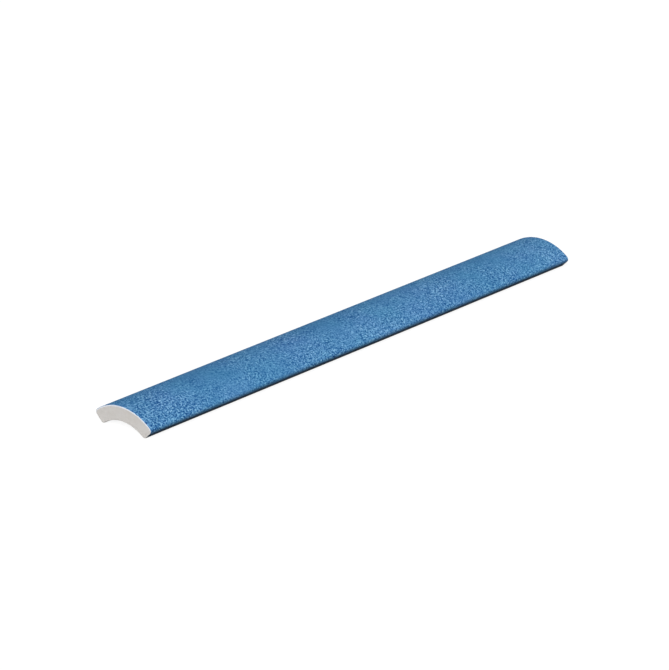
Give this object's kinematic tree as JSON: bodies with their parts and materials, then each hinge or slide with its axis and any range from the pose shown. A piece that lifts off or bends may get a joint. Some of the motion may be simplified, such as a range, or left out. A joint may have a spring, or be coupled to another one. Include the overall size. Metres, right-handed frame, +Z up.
{
  "type": "porcelain trim tile",
  "caption": "Arched quarter-round porcelain trim tile with a mottled glaze outside, a concave bedding back and slanted long edges, for finishing an outside corner between tiled faces.",
  "frame": {"origin": "on the ground, under the middle of the tile as it lies on its two feet", "axes": "+X along the tile's length, +Y across it, +Z up through the glazed crown"},
  "size_m": [0.3, 0.0356, 0.0116],
  "materials": {
    "glazed_porcelain": "matt mottled blue glaze on the crown and its rounded edges, thinning down the joint faces, and bare pale grey porcelain on the ends and back"
  },
  "bodies": {
    "root": {"trim_tile": "glazed_porcelain"}
  },
  "joints": []
}
